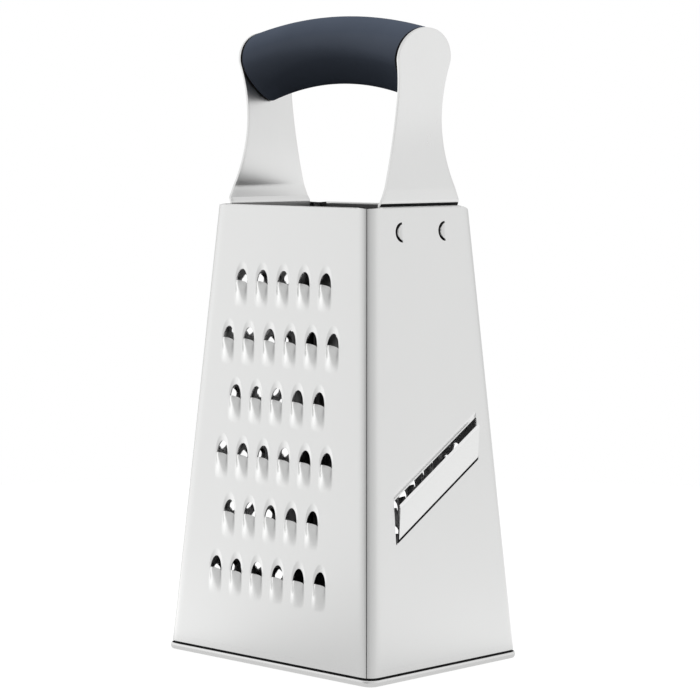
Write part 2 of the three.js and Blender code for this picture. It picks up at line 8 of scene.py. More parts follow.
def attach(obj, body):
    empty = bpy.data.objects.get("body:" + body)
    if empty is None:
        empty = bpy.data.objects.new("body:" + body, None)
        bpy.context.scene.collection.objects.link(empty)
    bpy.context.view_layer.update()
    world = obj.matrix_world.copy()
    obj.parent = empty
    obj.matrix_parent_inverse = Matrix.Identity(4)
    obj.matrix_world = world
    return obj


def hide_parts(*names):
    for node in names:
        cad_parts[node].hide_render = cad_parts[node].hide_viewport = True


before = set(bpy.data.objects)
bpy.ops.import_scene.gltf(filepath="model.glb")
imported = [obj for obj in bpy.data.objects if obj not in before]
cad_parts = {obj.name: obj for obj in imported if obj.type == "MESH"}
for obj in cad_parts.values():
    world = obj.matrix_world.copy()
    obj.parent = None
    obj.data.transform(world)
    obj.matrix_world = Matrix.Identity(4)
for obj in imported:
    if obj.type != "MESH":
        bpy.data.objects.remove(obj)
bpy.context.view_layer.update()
scene = bpy.context.scene
scene.view_settings.view_transform = "Standard"
mm = 0.001  # everything below is drawn in millimetres and shrunk at the end
print("frame loaded:", len(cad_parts), "nodes")

# Camera

photoView = {
    "azimuth": 44.067, "pitch": 4.724, "roll": 0.129,
    "distance": 987.0, "aside": 2.894, "height": 113.355,
    "focalPixels": 2663.8, "imagePixels": 700, "sensor": 36, "clip": (0.01, 30),
}


def makeCamera(view):
    a, e, roll = (radians(view[k]) for k in ("azimuth", "pitch", "roll"))
    back = Vector((sin(a) * cos(e), -cos(a) * cos(e), sin(e)))
    right = Vector((cos(a), sin(a), 0))
    up = back.cross(right)
    turned = Matrix((
        right * cos(roll) + up * sin(roll),
        up * cos(roll) - right * sin(roll),
        back,
    )).transposed().to_4x4()
    target = Vector((0, 0, view["height"])) + right * view["aside"]
    turned.translation = (target + back * view["distance"]) * mm
    data = bpy.data.cameras.new("photoCamera")
    data.sensor_width = view["sensor"]
    data.lens = view["sensor"] * view["focalPixels"] / view["imagePixels"]
    data.clip_start, data.clip_end = view["clip"]
    camera = bpy.data.objects.new("photoCamera", data)
    camera.matrix_world = turned
    scene.collection.objects.link(camera)
    scene.camera = camera


makeCamera(photoView)
print("camera placed")

# Node helpers


class Wire:
    # one value in a node tree, with plain arithmetic
    def __init__(self, tree, socket):
        self.tree = tree
        self.socket = socket

    def use(self, operation, *others):
        node = self.tree.nodes.new("ShaderNodeMath")
        node.operation = operation
        for slot, value in zip(node.inputs, (self, *others)):
            plug(slot, value)
        return Wire(self.tree, node.outputs[0])

    def __add__(self, other):
        return self.use("ADD", other)

    def __sub__(self, other):
        return self.use("SUBTRACT", other)

    def __mul__(self, other):
        return self.use("MULTIPLY", other)

    def __truediv__(self, other):
        return self.use("DIVIDE", other)

    def __pow__(self, other):
        return self.use("POWER", other)

    def __rsub__(self, other):
        return self * -1 + other

    __radd__ = __add__


def plug(slot, value):
    if isinstance(value, Wire):
        value.tree.links.new(value.socket, slot)
    elif isinstance(value, bpy.types.NodeSocket):
        slot.id_data.links.new(value, slot)
    else:
        slot.default_value = value


def addNode(tree, kind, settings=None, **values):
    node = tree.nodes.new(kind)
    for name, value in (settings or {}).items():
        setattr(node, name, value)
    for name, value in values.items():
        plug(node.inputs[name.replace("_", " ")], value)
    return node


def newTree(name, kind, inputs, outputs):
    tree = bpy.data.node_groups.new(name, kind)
    for way, sockets in (("INPUT", inputs), ("OUTPUT", outputs)):
        for label, socketType in sockets:
            tree.interface.new_socket(label, in_out=way, socket_type="NodeSocket" + socketType)
    given = tree.nodes.new("NodeGroupInput")
    result = tree.nodes.new("NodeGroupOutput")
    return tree, {s.name: Wire(tree, s) for s in given.outputs if s.name}, result


def mapped(tree, value, source, target, curve="SMOOTHSTEP"):
    node = addNode(tree, "ShaderNodeMapRange", {"interpolation_type": curve}, Value=value)
    for label, limit in zip(("From Min", "From Max", "To Min", "To Max"), (*source, *target)):
        node.inputs[label].default_value = limit
    return Wire(tree, node.outputs[0])


# Shader groups


def brushMarksGroup():
    # fine marks along the height of the sheet, and slow clouds over it
    inputs = [("Fineness", "Float"), ("Length", "Float"), ("Cloud Size", "Float")]
    outputs = [("Streaks", "Float"), ("Clouds", "Float")]
    tree, given, result = newTree("brushMarks", "ShaderNodeTree", inputs, outputs)
    place = addNode(tree, "ShaderNodeTexCoord").outputs["Object"]
    split = addNode(tree, "ShaderNodeSeparateXYZ", Vector=place)
    across = [Wire(tree, split.outputs[axis]) * given["Fineness"] for axis in "XY"]
    along = Wire(tree, split.outputs["Z"]) * given["Fineness"] / given["Length"]
    drawn = addNode(tree, "ShaderNodeCombineXYZ", X=across[0], Y=across[1], Z=along)
    streaks = addNode(tree, "ShaderNodeTexNoise", Vector=drawn.outputs[0], Scale=1.0, Detail=3.0)
    cloudScale = given["Cloud Size"] ** -1
    clouds = addNode(tree, "ShaderNodeTexNoise", Vector=place, Scale=cloudScale, Detail=2.0)
    plug(result.inputs["Streaks"], streaks.outputs[0])
    plug(result.inputs["Clouds"], clouds.outputs[0])
    return tree


def softSkinGroup():
    # the fine even grain of moulded rubber, with faint wiping marks
    inputs = [("Grain", "Float"), ("Mark Size", "Float")]
    outputs = [("Grain", "Float"), ("Marks", "Float")]
    tree, given, result = newTree("softSkin", "ShaderNodeTree", inputs, outputs)
    place = addNode(tree, "ShaderNodeTexCoord").outputs["Object"]
    grain = addNode(tree, "ShaderNodeTexNoise", Vector=place, Scale=given["Grain"], Detail=2.0)
    markScale = given["Mark Size"] ** -1
    marks = addNode(tree, "ShaderNodeTexNoise", Vector=place, Scale=markScale, Detail=3.0)
    plug(result.inputs["Grain"], grain.outputs[0])
    plug(result.inputs["Marks"], marks.outputs[0])
    return tree


brushMarks = brushMarksGroup()
softSkin = softSkinGroup()

# Materials

noiseRange = (0.25, 0.75)  # most of a noise texture's values lie between these
bumpReach = 0.1 * mm


def newMaterial(name):
    material = bpy.data.materials.new(name)
    material.use_nodes = True
    return material, material.node_tree, material.node_tree.nodes["Principled BSDF"]


def spread(tree, value, low, high):
    return mapped(tree, value, noiseRange, (low, high), "LINEAR")


def mixColours(tree, factor, first, second):
    node = addNode(tree, "ShaderNodeMix", {"data_type": "RGBA"})
    plug(node.inputs["Factor"], factor)
    colours = [s for s in node.inputs if s.type == "RGBA"]
    for slot, colour in zip(colours, (first, second)):
        slot.default_value = (*colour, 1)
    return [s for s in node.outputs if s.type == "RGBA"][0]


def addGroup(tree, group, look):
    node = addNode(tree, "ShaderNodeGroup", {"node_tree": group})
    for slot in node.inputs:
        slot.default_value = look[slot.name]
    return node


def addTones(tree, shader, tone, look):
    colour = mixColours(tree, spread(tree, tone, 0, 1), look["dark"], look["light"])
    plug(shader.inputs["Base Color"], colour)
    plug(shader.inputs["Roughness"], spread(tree, tone, *look["roughness"]))


def addBump(tree, shader, strength, height):
    bump = addNode(tree, "ShaderNodeBump", Strength=strength, Distance=bumpReach, Height=height)
    plug(shader.inputs["Normal"], bump.outputs[0])


def makeSteel(name, look):
    material, tree, shader = newMaterial(name)
    marks = addGroup(tree, brushMarks, look)
    streaks = Wire(tree, marks.outputs["Streaks"])
    clouds = Wire(tree, marks.outputs["Clouds"])
    addTones(tree, shader, streaks * look["streakShare"] + clouds * (1 - look["streakShare"]), look)
    shader.inputs["Metallic"].default_value = 1
    addBump(tree, shader, look["markDepth"], streaks)
    return material


def makeSkin(name, look):
    material, tree, shader = newMaterial(name)
    skin = addGroup(tree, softSkin, look)
    addTones(tree, shader, skin.outputs["Marks"], look)
    facing = Wire(tree, addNode(tree, "ShaderNodeLayerWeight", Blend=0.5).outputs["Facing"])
    shine = (1 - facing * look["slantLoss"]).use("MAXIMUM", 0)  # matt where it is seen at a slant
    plug(shader.inputs["Specular IOR Level"], shine * look["gloss"])
    addBump(tree, shader, look["grainDepth"], skin.outputs["Grain"])
    return material


satinSteel = makeSteel("satinSteel", {
    "Fineness": 2600, "Length": 60, "Cloud Size": 0.035, "streakShare": 0.45,
    "dark": (0.735, 0.737, 0.733), "light": (0.758, 0.76, 0.755),
    "roughness": (0.21, 0.25), "markDepth": 0.02,
})
strapSteel = makeSteel("strapSteel", {
    "Fineness": 2400, "Length": 40, "Cloud Size": 0.02, "streakShare": 0.3,
    "dark": (0.735, 0.737, 0.733), "light": (0.765, 0.767, 0.762),
    "roughness": (0.27, 0.31), "markDepth": 0.015,
})
rimSteel = makeSteel("rimSteel", {
    "Fineness": 2000, "Length": 3, "Cloud Size": 0.02, "streakShare": 0.4,
    "dark": (0.74, 0.74, 0.735), "light": (0.78, 0.78, 0.775),
    "roughness": (0.2, 0.27), "markDepth": 0.03,
})
# inner faces of the sheets are painted dark: painted shade of the closed inside of the body
shadedInsideSteel = makeSteel("shadedInsideSteel", {
    "Fineness": 1500, "Length": 40, "Cloud Size": 0.03, "streakShare": 0.4,
    "dark": (0.19, 0.19, 0.192), "light": (0.28, 0.28, 0.282),
    "roughness": (0.25, 0.35), "markDepth": 0.15,
})
# cut edges are painted near white: a painted highlight along the sheet's cut edges
cutSteelHighlight = makeSteel("cutSteelHighlight", {
    "Fineness": 3000, "Length": 2, "Cloud Size": 0.01, "streakShare": 0.6,
    "dark": (0.9, 0.9, 0.9), "light": (0.97, 0.97, 0.97),
    "roughness": (0.2, 0.3), "markDepth": 0.03,
})
seamShadow = makeSteel("seamShadow", {
    "Fineness": 1500, "Length": 10, "Cloud Size": 0.02, "streakShare": 0.4,
    "dark": (0.012, 0.012, 0.013), "light": (0.025, 0.025, 0.026),
    "roughness": (0.5, 0.65), "markDepth": 0.05,
})
gripRubber = makeSkin("gripRubber", {
    "Grain": 5200, "Mark Size": 0.02,
    "dark": (0.089, 0.107, 0.143), "light": (0.102, 0.122, 0.163),
    "roughness": (0.42, 0.52), "grainDepth": 0.12, "gloss": 0.2, "slantLoss": 2.5,
})
corePlastic = makeSkin("corePlastic", {
    "Grain": 3000, "Mark Size": 0.015,
    "dark": (0.012, 0.013, 0.015), "light": (0.018, 0.019, 0.021),
    "roughness": (0.4, 0.5), "grainDepth": 0.1, "gloss": 0.5, "slantLoss": 2.5,
})
plainFinish, innerFinish, cutFinish, shadeFinish = range(4)
sheetFinishes = [satinSteel, shadedInsideSteel, cutSteelHighlight, seamShadow]
sheetFinishes += [shadedInsideSteel, seamShadow]  # the inner face and the cut edges of a shaded strip
print("materials made:", len(bpy.data.materials))

# Drawing helpers

weldGap = 0.003  # points closer than this are one
edgeSegments = 3  # of a softened edge
edgeAngle = 50  # and the least bend that is softened


class Draft:
    # points and faces in millimetres, each face with the number of its finish
    def __init__(self):
        self.points = []
        self.faces = []
        self.kinds = []

    def grid(self, rows, kinds=None, closed=False):
        # rows from below upwards, each from left to right as seen from outside
        start, width = len(self.points), len(rows[0])
        for row in rows:
            self.points.extend(row)
        for i in range(len(rows) - 1):
            for j in range(width if closed else width - 1):
                k = (j + 1) % width
                a, b = start + i * width, start + (i + 1) * width
                self.faces.append((a + j, a + k, b + k, b + j))
                self.kinds.append(kinds(i, j) if kinds else plainFinish)

    def loop(self, ring, kind):
        start = len(self.points)
        self.points.extend(ring)
        self.faces.append(tuple(range(start, start + len(ring))))
        self.kinds.append(kind)

    def absorb(self, mesh, placing):
        start = len(self.points)
        self.points.extend(placing @ v.co for v in mesh.vertices)
        for face in mesh.polygons:
            corners = list(face.vertices)
            if face.normal.z < 0:
                corners.reverse()
            self.faces.append(tuple(start + k for k in corners))
            self.kinds.append(plainFinish)

    def mesh(self, finishes):
        made = bmesh.new()
        corners = [made.verts.new(p) for p in self.points]
        for face, kind in zip(self.faces, self.kinds):
            made.faces.new([corners[k] for k in face]).material_index = kind
        bmesh.ops.remove_doubles(made, verts=made.verts, dist=weldGap)
        bmesh.ops.dissolve_degenerate(made, edges=made.edges, dist=weldGap / 2)
        mesh = bpy.data.meshes.new("draft")
        for finish in finishes:
            mesh.materials.append(finish)
        made.to_mesh(mesh)
        made.free()
        return mesh


def evaluated(piece):
    bpy.context.view_layer.update()
    ready = piece.evaluated_get(bpy.context.evaluated_depsgraph_get())
    return bpy.data.meshes.new_from_object(ready)


def newObject(name, mesh):
    piece = bpy.data.objects.new(name, mesh)
    scene.collection.objects.link(piece)
    return piece


def thickened(mesh, thickness, even=False, bevel=0):
    # a sheet drawn by its outer face gets its wall, its inner face and its cut edges
    worker = newObject("worker", mesh)
    wall = worker.modifiers.new("wall", "SOLIDIFY")
    wall.thickness = thickness
    wall.offset = -1
    wall.use_even_offset = even
    # the inner face takes the painted shade of the inside, the cut edges a painted highlight
    wall.material_offset = innerFinish
    wall.material_offset_rim = cutFinish
    if bevel:
        soft = worker.modifiers.new("softEdge", "BEVEL")
        soft.width = bevel
        soft.segments = edgeSegments
        soft.limit_method = "ANGLE"
        soft.angle_limit = radians(edgeAngle)
    done = evaluated(worker)
    bpy.data.objects.remove(worker)
    return done


def finishPiece(name, mesh, node, turn=0, sharp=32):
    mesh.name = name
    mesh.transform(Matrix.Scale(mm, 4) @ Matrix.Rotation(radians(turn), 4, "Z"))
    mesh.shade_smooth()
    mesh.set_sharp_from_angle(angle=radians(sharp))
    piece = newObject(name, mesh)
    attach(piece, "root")
    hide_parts(node)
    print("made", name, len(mesh.polygons), "faces")


def joinMeshes(first, second):
    made = bmesh.new()
    made.from_mesh(first)
    made.from_mesh(second)
    made.to_mesh(first)
    made.free()
    return first


def mix(a, b, share):
    return a + (b - a) * share


def evenly(start, end, steps):
    return [mix(start, end, k / steps) for k in range(steps + 1)]


def bezier(points, steps):
    for k in range(steps + 1):
        row = [Vector(p) for p in points]
        while len(row) > 1:
            row = [a.lerp(b, k / steps) for a, b in zip(row, row[1:])]
        yield row[0]


# Body of the grater: four sheets with bent corners

body = {
    "baseWidth": 105.3, "baseDepth": 79.1,
    "topWidth": 80.0, "topDepth": 53.7,
    "height": 165.0, "rimLine": 2.3,
    "sheet": 0.6, "corner": 4.0,
    "seamAngle": 25.0, "seamHalf": 1.6, "lapAngle": 75.0, "lapRadius": 3.1,
    "longSteps": 20, "shortSteps": 7, "lapSteps": 6,
    # rounded edges at the seam: degrees past the bend's end, and depth
    "longEdge": [(-0.9, 0), (-0.25, 0.05), (0, 0.16)],
    "shortEdge": [(-0.8, 0.01), (-0.1, 0.08), (0.4, 0.25)],
    "lapStep": [(0.8, 0.667), (1.3, 0.944), (2, 1)],  # here the share of the way down to the lap
    "foot": 0.7, "grooveTop": 3.05, "grooveDepth": 0.55,
    "groove": [(-0.12, 1), (-0.04, 0.8), (0, 0.3), (0.06, 0)],  # height from its top, share of its depth
    "flatBelow": 2.2, "flatAbove": 3.2,  # plain strips below and above the stamped flat
    "hemRadius": 0.65, "hemHeight": 5.0, "hemSteps": 10,
    "ease": 3.0, "easeAngle": 9.0, "easeSteps": 6,  # the flats roll gently into the bends
    "plainTop": 0.12, "nearDrop": 0.3, "farDrop": 2.6,  # how far the bends end below the hem
    "dropCurve": 1.6, "dropLimit": 1.1, "rowGap": 0.25,
}
topLine = body["rimLine"] + body["height"]
flatLow, flatHigh = body["grooveTop"] + body["flatBelow"], topLine - body["flatAbove"]
easeTurn = radians(body["easeAngle"])
# plain strip of the flat beside each bend, and how far the flats stand out
strip = body["ease"] * (1 - easeTurn ** 2 / 10) - body["corner"] * sin(easeTurn)
crown = body["ease"] * easeTurn / 3 - body["corner"] * (1 - cos(easeTurn))
wideFace = {
    "baseHalf": body["baseWidth"] / 2, "topHalf": body["topWidth"] / 2,
    "baseOut": body["baseDepth"] / 2, "topOut": body["topDepth"] / 2,
}
narrowFace = {
    "baseHalf": wideFace["baseOut"], "topHalf": wideFace["topOut"],
    "baseOut": wideFace["baseHalf"], "topOut": wideFace["topHalf"],
}


def halfAt(face, z):
    return mix(face["baseHalf"], face["topHalf"], (z - body["rimLine"]) / body["height"])


def outAt(face, z):
    return mix(face["baseOut"], face["topOut"], (z - body["rimLine"]) / body["height"])


def tiltOf(face):
    return atan((face["baseOut"] - face["topOut"]) / body["height"])


def facePlacing(face):
    # from the face's own axes (across, up the slope, out) to the body's
    tilt = tiltOf(face)
    placing = Matrix(((1, 0, 0), (0, sin(tilt), -cos(tilt)), (0, cos(tilt), sin(tilt)))).to_4x4()
    placing.translation = (0, -face["baseOut"] - crown * cos(tilt), body["rimLine"] + crown * sin(tilt))
    return placing


def slopeTo(face, z):
    return (z - body["rimLine"]) / cos(tiltOf(face))


def bendPoint(face, z, side, angle, radius):
    a = radians(angle)
    x = halfAt(face, z) - body["corner"] + radius * sin(a)
    return Vector((side * x, body["corner"] - outAt(face, z) - radius * cos(a), z))


def easePoint(face, z, side, share, inset):
    # along a spiral, from the border of the flat to where the bend goes on as an arc
    along = body["ease"] * share
    x = halfAt(face, z) - body["corner"] - strip + along * (1 - easeTurn ** 2 * share ** 4 / 10)
    drop = easeTurn * along * share ** 2 / 3 - crown
    return Vector((side * x, inset + drop - outAt(face, z), z))


def bendColumns(wide):
    # (angle, radius) outwards from the flat, and the number of the first hidden column
    radius, lap = body["corner"], body["lapRadius"]
    if wide:
        end, steps, edge = body["seamAngle"], body["shortSteps"], body["shortEdge"]
    else:
        end, steps, edge = 90 - body["seamAngle"], body["longSteps"], body["longEdge"]
    end -= body["seamHalf"]
    columns = [(angle, radius) for angle in evenly(body["easeAngle"], end, steps)[1:-1]]
    columns += [(end + past, radius - depth) for past, depth in edge]
    hidden = len(columns)
    if wide:
        columns += [(end + past, mix(radius, lap, share)) for past, share in body["lapStep"]]
        lapAngles = evenly(columns[-1][0], body["lapAngle"], body["lapSteps"])
        columns += [(angle, lap) for angle in lapAngles[1:]]
    return columns, hidden


def panelDraft(face, wide, drops, flat):
    draft = Draft()
    columns, hidden = bendColumns(wide)
    lastAngle = body["seamAngle"] if wide else 90 - body["seamAngle"]
    length, radius = slopeTo(face, topLine), body["hemRadius"]
    top, depth = body["grooveTop"], body["grooveDepth"]

    # heights of the rows of points, and how deep each lies
    levels = [(body["foot"], depth)]
    levels += [(top + rise, depth * share) for rise, share in body["groove"]]
    grooveRows = len(levels) - 2
    levels.append((flatLow, 0))
    flatLevel = len(levels)
    levels += [(flatHigh, 0), (topLine - radius * cos(tiltOf(face)), 0)]

    easing = body["easeSteps"]
    count = len(columns) + easing + 1
    firstHidden = hidden + easing + 1

    def pointAt(side, place, z, inset):
        if place <= easing:
            return easePoint(face, z, side, place / easing, inset)
        angle, radius = columns[place - easing - 1]
        return bendPoint(face, z, side, angle, radius - inset)

    def reachOf(angle):
        return body["ease"] + body["corner"] * radians(angle - body["easeAngle"])

    def topHeight(side, place):
        reach = reachOf(columns[place - easing - 1][0]) if place > easing else body["ease"] * place / easing
        share = min(reach / reachOf(lastAngle), body["dropLimit"])
        return topLine - body["plainTop"] - drops[(side + 1) // 2] * share ** body["dropCurve"]

    def columnOf(side, place, level):
        z, inset = levels[level]
        if place:
            z = min(z, topHeight(side, place) - body["rowGap"] * (len(levels) - level))
        return pointAt(side, place, z, inset)

    # the groove above the rim and the hidden lap in the seam are painted dark as shade
    def finishOf(order):
        def kind(level, j):
            inShade = level < grooveRows or max(order[j], order[j + 1]) >= firstHidden
            return shadeFinish if inShade else plainFinish
        return kind

    for side, order in ((-1, range(count - 1, -1, -1)), (1, range(count))):
        rows = [[columnOf(side, p, level) for p in order] for level in range(len(levels))]
        rows.append([pointAt(side, p, topHeight(side, p), 0) for p in order])
        draft.grid(rows, finishOf(order))
    for part in (range(flatLevel), range(flatLevel, len(levels))):  # below and above the stamped flat
        rows = [[columnOf(-1, 0, level), columnOf(1, 0, level)] for level in part]
        draft.grid(rows, lambda i, j, base=part[0]: shadeFinish if base + i < grooveRows else plainFinish)

    # the closed hem along the top
    placing = facePlacing(face)
    turns = evenly(0, pi, body["hemSteps"])
    fold = [(length - radius + radius * sin(a), radius * cos(a) - radius) for a in turns]
    fold.append((length - body["hemHeight"], -2 * radius))
    edges = [columnOf(side, 0, len(levels) - 1).x for side in (-1, 1)]
    rows = [[placing @ Vector((x, y, w)) for x in edges] for y, w in fold]
    # the hem's inner flange takes the dark inside finish, a painted shade
    draft.grid(rows, lambda i, j: innerFinish if i == body["hemSteps"] else plainFinish)
    draft.absorb(flat, placing)
    return draft


def flatBorder(face):
    corners = ((-1, flatLow), (1, flatLow), (1, flatHigh), (-1, flatHigh))
    return [(side * (halfAt(face, z) - body["corner"] - strip), slopeTo(face, z)) for side, z in corners]


# Stamped teeth: one node tree makes the flat of a face with all its holes

coarseTeeth = {
    "Columns": 6, "Row Pairs": 3, "Across": 10.8, "Aside": -1.8, "Up": 21.3, "First": 29.7,
    "Half Width": 2.95, "Hole": 5.6, "Peak": 1.4, "Rise": 2.15, "Scoop": 8.8, "Dish": 0.24, "Reach": 2.9,
    "Margin": 0.8, "Points": 56, "Rings": 12,
}
mediumTeeth = {
    "Columns": 7, "Row Pairs": 12, "Across": 9.67, "Aside": 1.75, "Up": 5.04, "First": 21.95,
    "Half Width": 2.0, "Hole": 3.8, "Peak": 0.5, "Rise": 1.3, "Scoop": 4.2, "Dish": 0.3, "Reach": 1.1,
    "Margin": 0.3, "Points": 24, "Rings": 6,
}
zestBursts = {
    "Columns": 6, "Row Pairs": 10, "Across": 7.53, "Aside": 1.06, "Up": 6.17, "First": 18.53,
    "Foot": 3.25, "Hole": 2.5, "Rise": 0.9, "Notch": 0.3, "Points": 24, "Rings": 5,
}
toothForm = {
    "scoopCurve": 0.5, "squareness": 0.55,  # outline of the drawn ramp
    "rampCurve": 1.7, "archCurve": 1.6, "archSpread": 0.3, "steepness": 20.0,
}
burstForm = {"turn": 20.0, "petals": 4, "petalDepth": 0.14, "drawCurve": 1.1}
gridInputs = ["Across", "Aside", "Up", "First"]
countInputs = ["Columns", "Row Pairs", "Points", "Rings"]
pointInputs = ["Angle", "Share", "Rings"]
toothInputs = ["Half Width", "Hole", "Peak", "Rise", "Scoop", "Dish", "Reach", "Margin"]
burstInputs = ["Foot", "Hole", "Rise", "Notch"]
ringSpread = 1.35  # rings of a stamp lie closer together towards the sheet


def drawnShare(given):
    # the first ring of a stamp stays level with the sheet
    collar = given["Rings"] ** -ringSpread
    return ((given["Share"] - collar) / (1 - collar)).use("MAXIMUM", 0)


def toothGroup():
    # a point of a grating tooth: a raised ramp below its hole and a shallow dish above it
    inputs = [(name, "Float") for name in pointInputs + toothInputs]
    tree, given, result = newTree("toothPoint", "GeometryNodeTree", inputs, [("Position", "Vector")])
    share, drawn = given["Share"], drawnShare(given)
    outside = 1 - share
    sine = given["Angle"].use("SINE")
    cosine = given["Angle"].use("COSINE")
    lower = sine.use("LESS_THAN", 0)
    below = (sine * -1).use("MAXIMUM", 0)
    above = sine.use("MAXIMUM", 0)
    edge = given["Hole"] * above + given["Peak"] * below
    border = (given["Hole"] + given["Reach"]) * above - given["Scoop"] * below ** toothForm["scoopCurve"]
    y = border + (edge - border) * share
    side = cosine.use("ABSOLUTE") ** (1 - outside * lower * toothForm["squareness"])
    x = (given["Half Width"] + given["Margin"] * outside) * side * cosine.use("SIGN")
    ramp = (1 + (y / given["Scoop"]).use("MINIMUM", 0)) ** toothForm["rampCurve"]
    archCurve = toothForm["archCurve"] + outside * toothForm["archSpread"]
    arch = (1 - side * side).use("MAXIMUM", 0) ** archCurve
    raised = given["Rise"] * ramp * arch * (drawn * toothForm["steepness"]).use("MINIMUM", 1)
    z = raised * lower - given["Dish"] * above * drawn
    plug(result.inputs[0], addNode(tree, "ShaderNodeCombineXYZ", X=x, Y=y, Z=z).outputs[0])
    return tree


def burstGroup():
    # a point of a zesting burst: four torn petals round a small hole
    inputs = [(name, "Float") for name in pointInputs + burstInputs]
    tree, given, result = newTree("burstPoint", "GeometryNodeTree", inputs, [("Position", "Vector")])
    share = given["Share"]
    angle = given["Angle"] + radians(burstForm["turn"])
    petal = (angle * burstForm["petals"]).use("COSINE")
    hole = given["Hole"] * (1 + petal * burstForm["petalDepth"])
    radius = given["Foot"] + (hole - given["Foot"]) * share
    drawn = drawnShare(given) ** burstForm["drawCurve"]
    z = given["Rise"] * drawn * (1 - given["Notch"] * drawn * (1 - petal) / 2)
    x, y = radius * angle.use("COSINE"), radius * angle.use("SINE")
    plug(result.inputs[0], addNode(tree, "ShaderNodeCombineXYZ", X=x, Y=y, Z=z).outputs[0])
    return tree


def stampTree(name, pointTree, sizes):
    inputs = [("Outline", "Geometry")] + [(label, "Int") for label in countInputs]
    inputs += [(label, "Float") for label in gridInputs + sizes] + [("Finish", "Material")]
    tree, given, result = newTree(name, "GeometryNodeTree", inputs, [("Face", "Geometry")])

    def stamped(geometry, angle, share):
        point = addNode(tree, "GeometryNodeGroup", {"node_tree": pointTree}, Angle=angle, Share=share)
        for label in ["Rings"] + sizes:
            plug(point.inputs[label], given[label])
        moved = addNode(tree, "GeometryNodeSetPosition", Geometry=geometry, Position=point.outputs[0])
        return moved.outputs[0]

    # one stamp, and the ring where it meets the sheet
    patch = addNode(tree, "GeometryNodeMeshGrid", Size_X=1.0, Size_Y=1.0)
    plug(patch.inputs["Vertices X"], given["Points"] + 1)
    plug(patch.inputs["Vertices Y"], given["Rings"] + 1)
    position = addNode(tree, "GeometryNodeInputPosition").outputs[0]
    place = addNode(tree, "ShaderNodeSeparateXYZ", Vector=position)
    turn = Wire(tree, place.outputs["X"]) * (2 * pi) + pi / 2
    share = (Wire(tree, place.outputs["Y"]) + 0.5).use("MAXIMUM", 0) ** ringSpread
    stamp = stamped(patch.outputs["Mesh"], turn, share)
    ring = addNode(tree, "GeometryNodeMeshCircle", Vertices=given["Points"])
    index = Wire(tree, addNode(tree, "GeometryNodeInputIndex").outputs[0])
    mouth = stamped(ring.outputs[0], index / given["Points"] * (2 * pi) - pi / 2, 0.0)

    # two staggered grids of places
    places = addNode(tree, "GeometryNodeJoinGeometry")
    pairs = given["Row Pairs"] - 1
    for odd in (0, 1):
        columns = given["Columns"] - odd
        spots = addNode(tree, "GeometryNodeMeshGrid", Vertices_X=columns, Vertices_Y=given["Row Pairs"])
        plug(spots.inputs["Size X"], (columns - 1) * given["Across"])
        plug(spots.inputs["Size Y"], pairs * given["Up"] * 2)
        middle = given["First"] + given["Up"] * (pairs + odd)
        shift = addNode(tree, "ShaderNodeCombineXYZ", X=given["Aside"], Y=middle)
        moved = addNode(tree, "GeometryNodeTransform", Geometry=spots.outputs["Mesh"])
        plug(moved.inputs["Translation"], shift.outputs[0])
        plug(places.inputs[0], moved.outputs[0])

    def repeated(shape):
        copies = addNode(tree, "GeometryNodeInstanceOnPoints", Points=places.outputs[0], Instance=shape)
        return addNode(tree, "GeometryNodeRealizeInstances", Geometry=copies.outputs[0]).outputs[0]

    # the sheet is filled between the outline and the stamps' mouths
    lines = addNode(tree, "GeometryNodeJoinGeometry")
    plug(lines.inputs[0], given["Outline"])
    plug(lines.inputs[0], repeated(mouth))
    curves = addNode(tree, "GeometryNodeMeshToCurve", Mesh=lines.outputs[0])
    filled = addNode(tree, "GeometryNodeFillCurve", Curve=curves.outputs[0])
    whole = addNode(tree, "GeometryNodeJoinGeometry")
    plug(whole.inputs[0], filled.outputs[0])
    plug(whole.inputs[0], repeated(stamp))
    welded = addNode(tree, "GeometryNodeMergeByDistance", Geometry=whole.outputs[0], Distance=weldGap)
    dressed = addNode(tree, "GeometryNodeSetMaterial", Geometry=welded.outputs[0], Material=given["Finish"])
    plug(result.inputs[0], dressed.outputs[0])
    return tree


def wireMesh(loops):
    points, edges = [], []
    for loop in loops:
        start = len(points)
        points += [(x, y, 0) for x, y in loop]
        edges += [(start + k, start + (k + 1) % len(loop)) for k in range(len(loop))]
    mesh = bpy.data.meshes.new("outline")
    mesh.from_pydata(points, edges, [])
    return mesh


def stampedFlat(tree, loops, sizes):
    worker = newObject("worker", wireMesh(loops))
    stamping = worker.modifiers.new("stamping", "NODES")
    stamping.node_group = tree
    values = {**sizes, "Finish": satinSteel}
    for item in tree.interface.items_tree:
        if item.in_out == "INPUT" and item.name in values:
            stamping[item.identifier] = values[item.name]
    flat = evaluated(worker)
    bpy.data.objects.remove(worker)
    return flat


toothTree = stampTree("gratingTeeth", toothGroup(), toothInputs)
burstTree = stampTree("zestingBursts", burstGroup(), burstInputs)

# Half-moon clinch tabs near the top of the narrow faces

clinchTab = {
    "radius": 3.6, "spacing": 22.6, "drop": 9.0, "angle": 15.0, "cut": 0.85, "bendStart": 0.25,
    "steps": 24, "columns": [1, 0.7, 0.4, 0.2, 0.1, 0],
}
tabHeight = slopeTo(narrowFace, topLine) - clinchTab["drop"]
tabPlaces = [(side * clinchTab["spacing"] / 2, tabHeight) for side in (-1, 1)]
tabAngles = evenly(-pi / 2, pi / 2, clinchTab["steps"])


def tabOutline(x, y):
    radius = clinchTab["radius"]
    arc = [(x - radius * cos(a), y + radius * sin(a)) for a in tabAngles]
    chord = [(x, y + radius * sin(a)) for a in reversed(tabAngles[1:-1])]
    return arc + chord


